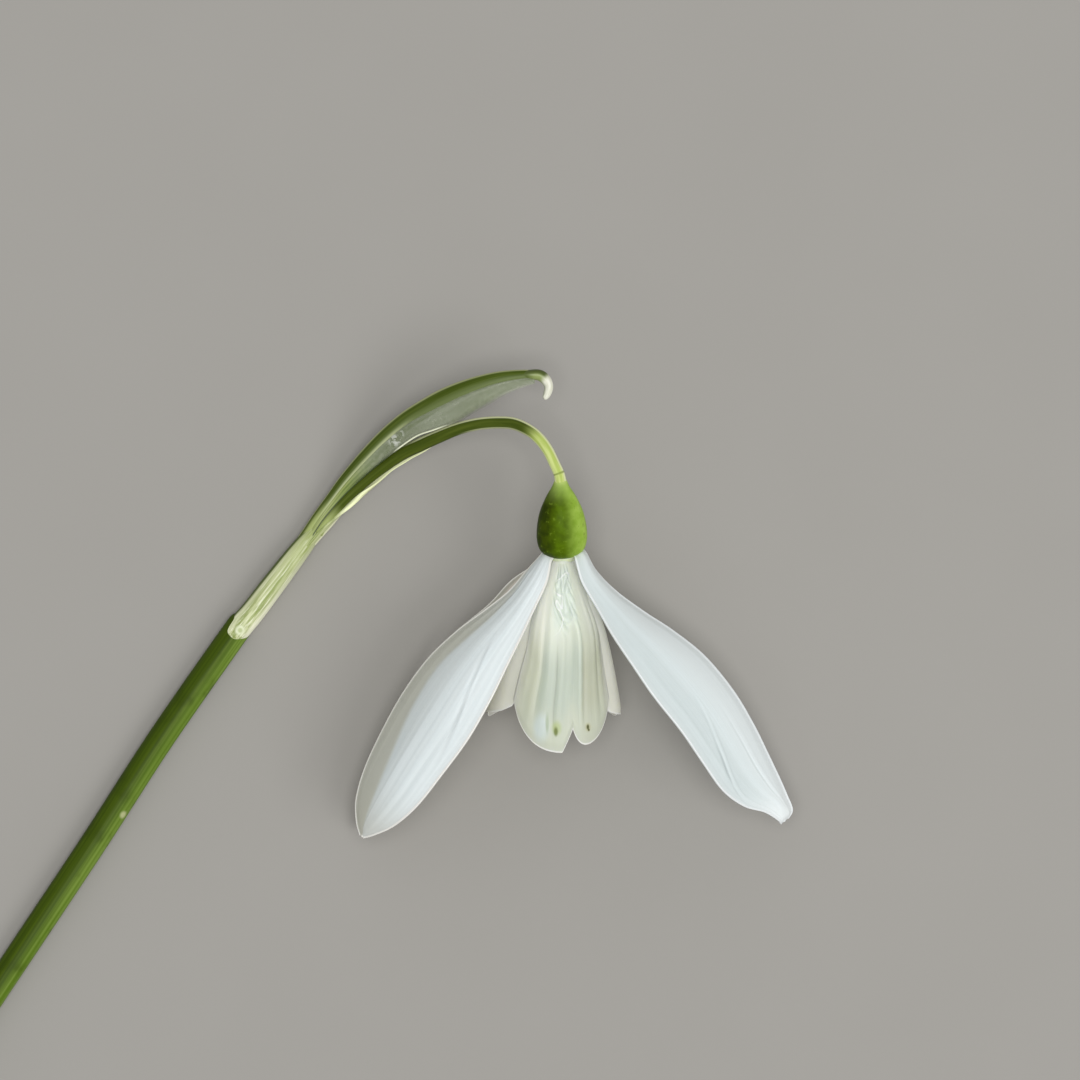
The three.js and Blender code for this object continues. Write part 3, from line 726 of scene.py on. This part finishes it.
def membrane_paint(name):
    """A wing's film, the lines along its edge, and the seam where the rear wing closes the tube."""
    paint = Paint(name)
    streak = paint.streaks("across", 4.0, 14.0, 8)
    grain = paint.noise(paint.place(), 3300.0, 3.0)
    film = paint.two_tone(streak, (0.24, 0.28, 0.16), (0.38, 0.42, 0.3))
    film = paint.mix(paint.ramp(grain, 0.4, 0.7, 0, 0.24), film, (0.56, 0.58, 0.46))
    leafy = paint.two_tone(streak, (0.13, 0.19, 0.04), (0.32, 0.38, 0.12), 0.4, 0.62)
    paint.colour = paint.two_tone(streak, (0.3, 0.36, 0.12), (0.54, 0.59, 0.3), 0.4, 0.62)
    paint.fade(leafy, "along", 0.13, 0.26)
    paint.fade(film, "along", 0.26, 0.4)
    flecks = paint.ramp(paint.noise(paint.place(), 2100.0, 2.0), 0.47, 0.53)
    for spot, radius in SPECKS:
        paint.lay((0.8, 0.83, 0.74), paint.near(spot, radius), flecks)
    solid = paint.ramp("along", 0.26, 0.35, 1, 0)
    for wing, strength, low, high, begin, end, colour in WING_LINES:
        if wing == name:
            line = paint.times(
                paint.ramp("edge", low, high, strength, 0),
                paint.ramp("along", *begin),
                paint.ramp("along", *end, 1, 0),
            )
            paint.lay(colour, line)
            solid = paint.maths("MAXIMUM", solid, line)
    seam = paint.ramp(paint.gap("across", -1.02), 0.1, 0.26, 0.9, 0)
    paint.lay((0.93, 0.93, 0.66), seam, paint.ramp("along", 0.17, 0.23, 1, 0))
    film_alpha = paint.ramp("along", 0.275, 0.46, 1, 0.45)
    film_alpha = paint.times(film_alpha, paint.ramp("edge", 0, 0.5, 0.35, 1))
    return paint.done(
        Roughness=0.35,
        Specular_IOR_Level=0.3,
        Alpha=paint.maths("MAXIMUM", film_alpha, solid),
        Normal=paint.bump(streak, 0.4, 0.06),
    )


def hook_paint():
    paint = Paint("hook")
    streak = paint.streaks("around", 4.0, 12.0, 5)
    paint.colour = paint.two_tone(streak, (0.7, 0.7, 0.56), (0.87, 0.87, 0.76))
    paint.fade((0.4, 0.43, 0.3), "around", 0.3, 0.44, 0.9, 0)
    paint.fade((0.27, 0.33, 0.11), "along", 0.32, 0.48, 1, 0)
    paint.fade((0.09, 0.125, 0.02), "along", 0.06, 0.24, 1, 0)
    top = paint.ramp("around", 0.48, 0.58)
    paint.lay((0.07, 0.1, 0.01), top, paint.ramp("along", 0.34, 0.43, 1, 0))
    return paint.done(Roughness=0.4)


def pedicel_paint():
    paint = Paint("pedicel")
    streak = paint.streaks("around", 5.0, 10.0, 7)
    dark = paint.two_tone(streak, (0.05, 0.075, 0.005), (0.085, 0.115, 0.012))
    light = paint.two_tone(streak, (0.42, 0.52, 0.12), (0.62, 0.7, 0.26))
    # Painted light: the end towards the ovary is lighter green, where the bend faces the light from the
    # right
    paint.colour = paint.mix(paint.ramp("along", 0.66, 0.76), dark, light)
    paint.fade((0.34, 0.4, 0.14), "along", 0.02, 0.075, 1, 0)
    for place, strength, start in PEDICEL_LINES:
        line = paint.ramp(paint.gap("around", place), 0.04, 0.07, strength, 0)
        paint.lay((0.72, 0.76, 0.44), line, paint.ramp("along", start, start + 0.08))
    joint = paint.gap("along", PEDICEL_JOINT)
    paint.fade((0.2, 0.26, 0.05), joint, 0.002, 0.008, 0.75, 0)
    return paint.done(Roughness=0.42, Specular_IOR_Level=0.1, Normal=paint.bump(streak, 0.25, 0.04))


def ovary_paint():
    paint = Paint("ovary")
    mottle = paint.noise(paint.place(), 1300.0, 3.0)
    pits = paint.noise(paint.place(), 2600.0, 2.0)
    # Painted shade on the left side and painted light on the right side, which faces the light
    shaded = paint.two_tone(mottle, (0.026, 0.042, 0.001), (0.045, 0.07, 0.001), 0.35, 0.65)
    middle = paint.two_tone(mottle, (0.06, 0.105, 0.001), (0.085, 0.15, 0.002), 0.35, 0.65)
    bright = paint.two_tone(mottle, (0.29, 0.46, 0.05), (0.38, 0.56, 0.09), 0.35, 0.65)
    paint.colour = paint.mix(paint.ramp("sunny", -0.65, -0.1), shaded, middle)
    paint.fade(bright, "sunny", 0.05, 1.0)
    paint.fade((0.16, 0.24, 0.02), pits, 0.62, 0.72, 0, 0.5)
    paint.fade((0.36, 0.51, 0.11), "along", 0.02, 0.34, 0.9, 0)
    paint.fade((0.56, 0.66, 0.22), "along", 0.04, 0.14, 0.9, 0)
    paint.fade((0.5, 0.56, 0.22), "along", 0.9, 0.96, 0, 0.8)
    return paint.done(
        Roughness=0.42,
        Specular_IOR_Level=0.05,
        Normal=paint.bump(paint.maths("MULTIPLY_ADD", pits, 0.4, mottle), 0.35, 0.1),
    )


def collar_paint():
    paint = Paint("collar")
    grain = paint.streaks("around", 1.0, 30.0, 12)
    paint.colour = paint.mix(grain, (0.56, 0.62, 0.34), (0.8, 0.82, 0.62))
    return paint.done(Roughness=0.4, Subsurface_Weight=0.2, Subsurface_Scale=0.0006)


def anther_paint():
    paint = Paint("anther")
    grain = paint.noise(paint.place(), 3000.0, 3.0)
    paint.colour = paint.two_tone(grain, (0.62, 0.33, 0.05), (0.8, 0.5, 0.12))
    return paint.done(Roughness=0.7, Normal=paint.bump(grain, 0.5, 0.05))


def style_paint():
    paint = Paint("style")
    grain = paint.noise(paint.place(), 2200.0, 2.0)
    paint.colour = paint.mix(grain, (0.62, 0.66, 0.42), (0.78, 0.8, 0.62))
    return paint.done(Roughness=0.45, Subsurface_Weight=0.2, Subsurface_Scale=0.0005)


def floor_paint():
    paint = Paint("floor")
    grain = paint.noise(paint.place(), 60.0, 2.0)
    paint.colour = paint.mix(grain, (0.33, 0.318, 0.295), (0.345, 0.333, 0.31))
    return paint.done(Roughness=0.9, Specular_IOR_Level=0.2)


# Pieces

def spread(count, low=0.0, high=1.0):
    return np.linspace(low, high, count)


def crowded(count):
    """Numbers from -1 to 1 that lie closer together near both ends."""
    even = spread(count, -1.0, 1.0)
    return 0.6 * even + 0.4 * np.sin(even * math.pi / 2)


def rib_height(ribs, stations, across):
    """Height of the ribs over a grid of places along and across a blade."""
    height = np.zeros_like(across)
    for place, width, rise, first, last, *end_place in ribs:
        window = smooth(first - 0.1, first + 0.1, stations)
        window = window * (1 - smooth(last - 0.12, last + 0.04, stations))
        slant = (end_place[0] - place) / (last - first) if end_place else 0.0
        line = place + slant * (stations - first)
        height += rise * window * np.exp(-(((across - line) / width) ** 2))
    return height


def scape():
    rows = [[x, y] + [SCAPE_RADIUS] * 3 for x, y in SCAPE_PATH]
    rows += [[x, y, SCAPE_RADIUS, radius, radius] for x, y, radius in SCAPE_TOP]

    def ribbed(u, turns):
        return 1 + SCAPE_RIB_DEPTH * np.cos(turns * SCAPE_RIBS) * math.sin(u * 5 + 1) - SCAPE_RIB_DEPTH

    rings = rings_along(rows, 160, 56, profile=ribbed)
    values = tube_values(rings)
    # sunny is 1 on the lower right side, which faces the light, and drives the painted light and shade
    values["sunny"] = np.sin(values["around"] * 2 * math.pi)
    piece("scape_stalk", "scape", tube(rings), scape_paint(), values)


def sheath():
    count = 90
    sides = 48
    rings = rings_along(SHEATH_ROWS, count, sides)
    turns = shares_round(sides) * 2 * math.pi
    ahead = unit(np.append(np.subtract(SHEATH_ROWS[3], SHEATH_ROWS[0])[:2], 0.0))
    rise = LIP_RISE * np.sin(turns) ** 2 * (0.7 + 0.3 * np.sin(turns))
    rings += (rise[None, :] * (1 - smooth(0.0, 0.4, spread(count)))[:, None])[..., None] * ahead
    values = tube_values(rings)
    turn = values["around"] * 2 * math.pi
    values["keel"] = smooth(0.9, 0.97, -np.sin(turn) + 0.22 * values["along"])
    values["sunny"] = np.sin(turn)
    piece("spathe_sheath", "spathe", tube(rings), sheath_paint(), values)


def wing_turns(stations, sign, count):
    """Turns round the canopy's U from just under the keel's margin to the free edge of one wing."""
    last = along(CANOPY_ROWS, stations)[:, 6:7] if sign < 0 else np.full((len(stations), 1), 90.0)
    return sign * (WING_START + (np.radians(last) - WING_START) * spread(count)[None, :])


def canopy_grid(stations, turns):
    """Middle of the canopy's wall: rows along it, and turns round its U, below 0 on the rear wing."""
    at = along(CANOPY_ROWS, stations)
    ahead = along(CANOPY_ROWS, np.minimum(stations + TANGENT_STEP, 1))
    behind = along(CANOPY_ROWS, np.maximum(stations - TANGENT_STEP, 0))
    tangent = unit((ahead - behind)[:, :2])
    inward = np.stack([tangent[:, 1], -tangent[:, 0]], axis=1)
    turns = np.broadcast_to(turns, (len(stations), np.shape(turns)[-1]))
    reach = np.where(turns > 0, at[:, 3:4], at[:, 4:5]) * (1 - np.cos(turns))
    plan = at[:, None, :2] + inward[:, None, :] * (CANOPY_OUTSIDE + reach)[..., None]
    height = at[:, 2:3] + at[:, 5:6] * np.sin(turns)
    return np.dstack([plan, height])


def canopy_edge(grid):
    """How far each point is from the last column, which is the wing's free edge."""
    step = np.linalg.norm(np.diff(grid, axis=1), axis=2)
    return np.append(np.cumsum(step[:, ::-1], axis=1)[:, ::-1], np.zeros((len(grid), 1)), axis=1)


def keel():
    stations = spread(150)
    turns = spread(41, -KEEL_TURN, KEEL_TURN)
    across, far = np.meshgrid(turns / KEEL_TURN, stations)
    thick = KEEL_EDGE_THICKNESS + KEEL_SWELL * np.cos(across * math.pi / 2) ** 0.7
    above = np.full(thick.shape, CANOPY_OUTSIDE)
    body = skin(canopy_grid(stations, turns), thick - above, above)
    values = both_faces({"along": far, "across": across})
    piece("spathe_keel", "spathe", body, keel_paint(), values)


def membrane(name, sign, material):
    """One wing: the front one for sign 1, and the rear one for -1."""
    stations = spread(170)
    turns = wing_turns(stations, sign, 48)
    grid = canopy_grid(stations, turns)
    edge = canopy_edge(grid)
    rear_rim = REAR_RIM_THICKNESS * (1 - smooth(0.45, 0.7, stations))[:, None]
    rim = FRONT_RIM_THICKNESS if sign > 0 else rear_rim
    thick = MEMBRANE_THICKNESS + rim * np.exp(-((edge / RIM_WIDTH) ** 2))
    middle = CANOPY_OUTSIDE - MEMBRANE_DEPTH
    above = thick / 2 + middle
    below = thick / 2 - middle
    body = skin(grid, below, above) if sign > 0 else skin(grid, above, below)
    far = np.broadcast_to(stations[:, None], edge.shape)
    values = {"along": far, "across": turns / math.pi, "edge": edge}
    piece(name, "spathe", body, material, both_faces(values))


def hook():
    rings = rings_along(HOOK_ROWS, 60, 32)
    piece("spathe_hook", "spathe", tube(rings), hook_paint(), tube_values(rings))


def pedicel():
    rows = [[x, y, z, radius, radius] for x, y, z, radius in PEDICEL_ROWS]
    rings = rings_along(rows, 240, 36, upright=False)
    piece("pedicel_stalk", "pedicel", tube(rings), pedicel_paint(), tube_values(rings))


def ovary():
    count = 90
    sides = 72
    neck = np.array([0.0, 0.0, NECK_HEIGHT])
    down = unit(FOOT - neck)
    right = unit([-down[1], down[0], 0.0])
    near = np.cross(right, down)
    turns = np.arange(sides) / sides * 2 * math.pi
    rings = []
    for u in spread(count):
        distance, radius = along(OVARY_OUTLINE, u)
        lobes = 1 + OVARY_LOBE_HEIGHT * np.cos(OVARY_LOBES * turns + 0.6) * math.sin(math.pi * u)
        ring = neck + down * distance + np.outer(radius * lobes * np.cos(turns), right)
        rings.append(ring + np.outer(radius * lobes * np.sin(turns), near))
    rings = np.array(rings)
    values = tube_values(rings)
    # sunny is 1 on the right side, towards the light, for the painted light and shade
    values["sunny"] = np.append(np.tile(np.cos(turns), count), [0, 0])
    piece("ovary_body", "ovary", tube(rings), ovary_paint(), values)


def axis_ring(distance, offset, radius, turn, sides):
    """A ring square to the bloom's axis, whose middle is off the axis by an offset at a turn."""
    centre = FOOT + AXIS * distance + SIDE * offset * math.cos(turn) + FRONT * offset * math.sin(turn)
    around = np.arange(sides) / sides * 2 * math.pi + turn
    return centre + np.outer(radius * np.cos(around), SIDE) + np.outer(radius * np.sin(around), FRONT)


def axis_rings(rows, count, sides, turn=0.0):
    """Rings from rows of distance along the bloom's axis, offset from it and radius."""
    return np.array([axis_ring(*row, turn, sides) for row in along(rows, spread(count))])


def turned(rows, count, sides):
    """Rings round the bloom's axis from rows of distance and radius."""
    return axis_rings([[distance, 0, radius] for distance, radius in rows], count, sides)


def collar():
    rings = turned(COLLAR_ROWS, 30, 64)
    piece("ovary_collar", "ovary", tube(rings), collar_paint(), tube_values(rings))


def fold_drop(v):
    """How far a blade has folded down at v across it."""
    return FOLD_WIDTH * np.log1p(np.exp((v - FOLD_PLACE) / FOLD_WIDTH))


def outer_grid(segment, stations, across):
    """Middle of an outer segment: rows along it, and columns across it to its outer edge."""
    at = along(segment["rows"], stations)
    start, end = np.array(segment["start"]), np.array(segment["end"])
    chord = unit(end - start)
    outward = np.array([chord[1], -chord[0]]) * segment["outward"]
    v = across[None, :]
    half = (at[:, 1:2] + at[:, 2:3]) / 2
    middle = (at[:, 1:2] - at[:, 2:3]) / 2
    fall = at[:, 4:5]
    near_share, far_share = segment["flat_shares"]
    flat = (near_share + (far_share - near_share) * smooth(0.15, 0.55, stations)[:, None]) * fall
    steep = 2 * (fall - flat) / fold_drop(1.0)
    plan = start + chord * at[:, 0:1, None] + outward * (middle + half * v)[..., None]
    height = BLOOM_HEIGHT + at[:, 3:4] + half * (fall - flat * (1 + v) - steep * fold_drop(v))
    return np.dstack([plan, height])


def edge_distance(grid):
    """How far each point of a grid is from its two sides and its last row."""
    step = np.linalg.norm(np.diff(grid, axis=1), axis=2)
    width = np.append(np.zeros((len(grid), 1)), np.cumsum(step, axis=1), axis=1)
    side = np.minimum(width, width[:, -1:] - width)
    tip = np.linalg.norm(grid - grid[-1, grid.shape[1] // 2], axis=2)
    return np.minimum(side, tip)


def thickness(profile, edge):
    """A blade's thickness, from thin at its margin to full."""
    thin, full, width = profile
    return thin + (full - thin) * smooth(0.0, width, edge)


def outer_segment(name, segment, material):
    stations = spread(180)
    across = crowded(101)
    grid = outer_grid(segment, stations, across)
    v, u = np.meshgrid(across, stations)
    relief = rib_height(segment["ribs"], u, v) * (1 - np.abs(v) ** 6)
    edge = edge_distance(grid)
    bead = BEAD_THICKNESS * smooth(0.1, 0.3, u) * np.exp(-((edge / BEAD_WIDTH) ** 2))
    thick = thickness(OUTER_THICKNESS, edge) + bead
    painted_shade_zone = along(np.array(segment["painted_shade_zone"])[:, None], u)[..., 0]
    values = {"along": u, "across": v, "edge": edge, "relief": relief}
    # 1 over the outer part of the blade that is painted greyer as shade
    values["painted_shade_zone"] = smooth(-0.1, 0.04, v - painted_shade_zone)
    body = skin(grid, thick / 2 - relief, thick / 2 + relief)
    piece(name + "_petal", name, body, material, both_faces(values))


def crinkle_window(u, q):
    """From 0 to 1 over the crinkled middle of the front segment's claw."""
    return smooth(0.02, 0.1, u) * (1 - smooth(0.3, 0.42, u)) * (1 - smooth(0.22, 0.4, np.abs(q - 0.04)))


def crinkle(u, q):
    """Fine folds of the claw's thin skin: waves along it and across it, each bent by the other way."""
    waves = np.sin(43 * u + 5 * np.sin(9 * q + 15 * u)) + 0.8 * np.sin(22 * q + 5 * np.sin(21 * u))
    return CRINKLE_HEIGHT * waves * crinkle_window(u, q)


def tuck_share(segment, q):
    """From 0 to 1 over the margin of a rear segment that runs in behind the front one."""
    return smooth(0.74, 0.96, q * segment["tucked_side"])


def tuck_turn(segment, u, q):
    """How many degrees further round the axis the tucked margin lies."""
    return segment["tucked_side"] * segment["tuck_turn"] * tuck_share(segment, q) * smooth(0.05, 0.35, u)


def tuck_rise(segment, q):
    """How far out the blade swells before its tucked margin, and how far in the margin then lies."""
    share = tuck_share(segment, q)
    return TUCK_SWELL * 4 * share * (1 - share) - TUCK_DEPTH * smooth(0.45, 0.85, share)


def notch_cut(segment, q):
    """How much of the notch's depth is cut at q: one side is steep, and the other runs out softly."""
    past = q - segment["notch"]
    return np.where(past > 0, np.clip(1 - past / NOTCH_STEEP_SIDE, 0, 1), np.exp(past / NOTCH_SPREAD))


def shoulder_cut(segment, q):
    """How much shorter the blade is at q than in its middle: a tucked side is cut late and steeply."""
    tucked = q * segment["tucked_side"] > 0
    return segment["shoulder"] * np.abs(q) ** np.where(tucked, TUCKED_SHOULDER_POWER, SHOULDER_POWER)


def inner_grid(segment, stations, across):
    """Middle of an inner segment, how far each point is from its margin, and its relief."""
    q, u = np.meshgrid(across, stations)
    span = along(segment["spans"], u)
    end = segment["length"] - shoulder_cut(segment, q) - NOTCH_DEPTH * notch_cut(segment, q)
    distance = CUP_START + (end - CUP_START) * u
    cup = along(np.array(CUP_RADII)[:, None], distance / CUP_STEP / (len(CUP_RADII) - 1))[..., 0]
    relief = INNER_RIB_SHARE * rib_height(segment["ribs"], u, q)
    if segment["tucked_side"] == 0:
        relief = relief + crinkle(u, q)
    radius = cup - INNER_THICKNESS[1] / 2 - INNER_CLEARANCE + relief + tuck_rise(segment, q)
    turn = np.radians(span[..., 0] + span[..., 1] * q + tuck_turn(segment, u, q))
    grid = FOOT + AXIS * distance[..., None]
    grid = grid + SIDE * (radius * np.cos(turn))[..., None] + FRONT * (radius * np.sin(turn))[..., None]
    edge = np.minimum((1 - np.abs(q)) * np.radians(span[..., 1]) * radius, (1 - u) * (end - CUP_START))
    return grid, edge, relief


def inner_segment(name, segment, material):
    """A segment whose columns lie closest together at its notch."""
    notch = segment["notch"]
    stations = spread(170)
    half = np.sin(spread(56, 0, math.pi / 2))
    right = 1 - half * (1 - notch)
    across = np.append(half * (notch + 1) - 1, right[-2::-1])
    grid, edge, relief = inner_grid(segment, stations, across)
    thick = thickness(INNER_THICKNESS, edge)
    q, u = np.meshgrid(across, stations)
    front = float(segment["tucked_side"] == 0)
    values = {"along": u, "across": q, "edge": edge, "relief": relief}
    # Painted shadow over the front segment's right third, and a cream tint on its left margin
    values["cream_and_shadow"] = front * (smooth(0.22, 0.34, -q) + smooth(0.42, 0.68, q))
    values["glassy"] = front * crinkle_window(u, q)
    body = skin(grid, thick / 2, thick / 2)
    piece(name + "_petal", name, body, material, both_faces(values))


def stamens():
    material = anther_paint()
    piece("stamen_disc", "stamens", tube(turned(DISC_ROWS, 40, 24)), style_paint(), {})
    for k in range(STAMENS):
        rings = axis_rings(ANTHER_ROWS, 40, 24, (k + 0.5) / STAMENS * 2 * math.pi)
        piece(f"stamen_{k + 1}", "stamens", tube(rings), material, {})


def style():
    piece("style_stalk", "style", tube(turned(STYLE_ROWS, 50, 24)), style_paint(), {})


# Floor, light and camera, in metres and watts where no unit is named

FLOOR_SIZE = 6.0
VIEW_WIDTH = 97.2  # millimetres across the picture at the bloom
VIEW_CENTRE = [-1.845, -5.4, 5.0]  # millimetres, as in the tables
CAMERA_DISTANCE = 1.6
SENSOR = 36.0  # millimetres
CLIP_START = 0.05
CLIP_END = 10.0

# Name, place, size, power
LIGHTS = [
    ("key_light", (0.5, -0.25, 0.75), 0.5, 2.0),
    ("top_light", (0.03, -0.03, 1.2), 0.5, 6.4),
]
WORLD_STRENGTH = 0.5


def floor():
    half = FLOOR_SIZE / 2
    mesh = bpy.data.meshes.new("floor")
    corners = [(-half, -half, 0), (half, -half, 0), (half, half, 0), (-half, half, 0)]
    mesh.from_pydata(corners, [], [(0, 1, 2, 3)])
    mesh.materials.append(floor_paint())
    placed("floor", mesh)


def softbox(name, place, size, power):
    """A round light that faces the origin."""
    light = bpy.data.lights.new(name, "AREA")
    light.shape = "DISK"
    light.size = size
    light.energy = power
    made = placed(name, light)
    made.location = place
    made.rotation_mode = "QUATERNION"
    made.rotation_quaternion = (-Vector(place)).to_track_quat("-Z", "Y")


def world_light():
    world = bpy.data.worlds.new("studio")
    world.use_nodes = True
    background = world.node_tree.nodes["Background"]
    background.inputs["Color"].default_value = (1.0, 1.0, 1.0, 1.0)
    background.inputs["Strength"].default_value = WORLD_STRENGTH
    bpy.context.scene.world = world


def camera():
    data = bpy.data.cameras.new("camera")
    data.sensor_width = SENSOR
    data.lens = SENSOR * CAMERA_DISTANCE / (VIEW_WIDTH * MM)
    data.clip_start = CLIP_START
    data.clip_end = CLIP_END
    made = placed("camera", data)
    centre = (np.array(VIEW_CENTRE) + SHIFT) * MM
    made.location = (centre[0], centre[1], centre[2] + CAMERA_DISTANCE)
    bpy.context.scene.camera = made


def build():
    bpy.context.scene.view_settings.view_transform = "Standard"
    camera()
    floor()
    for light in LIGHTS:
        softbox(*light)
    world_light()
    scape()
    sheath()
    keel()
    membrane("spathe_front_membrane", 1, membrane_paint("front_membrane"))
    membrane("spathe_rear_membrane", -1, membrane_paint("rear_membrane"))
    hook()
    pedicel()
    ovary()
    collar()
    for side, segment in (("left", LEFT), ("right", RIGHT), ("back", BACK)):
        outer_segment("outer_segment_" + side, segment, outer_paint("outer_" + side))
    rear = inner_paint("inner_rear")
    inner_segment("inner_segment_front", FRONT_INNER, inner_paint("inner_front"))
    inner_segment("inner_segment_left", LEFT_INNER, rear)
    inner_segment("inner_segment_right", RIGHT_INNER, rear)
    stamens()
    style()


build()
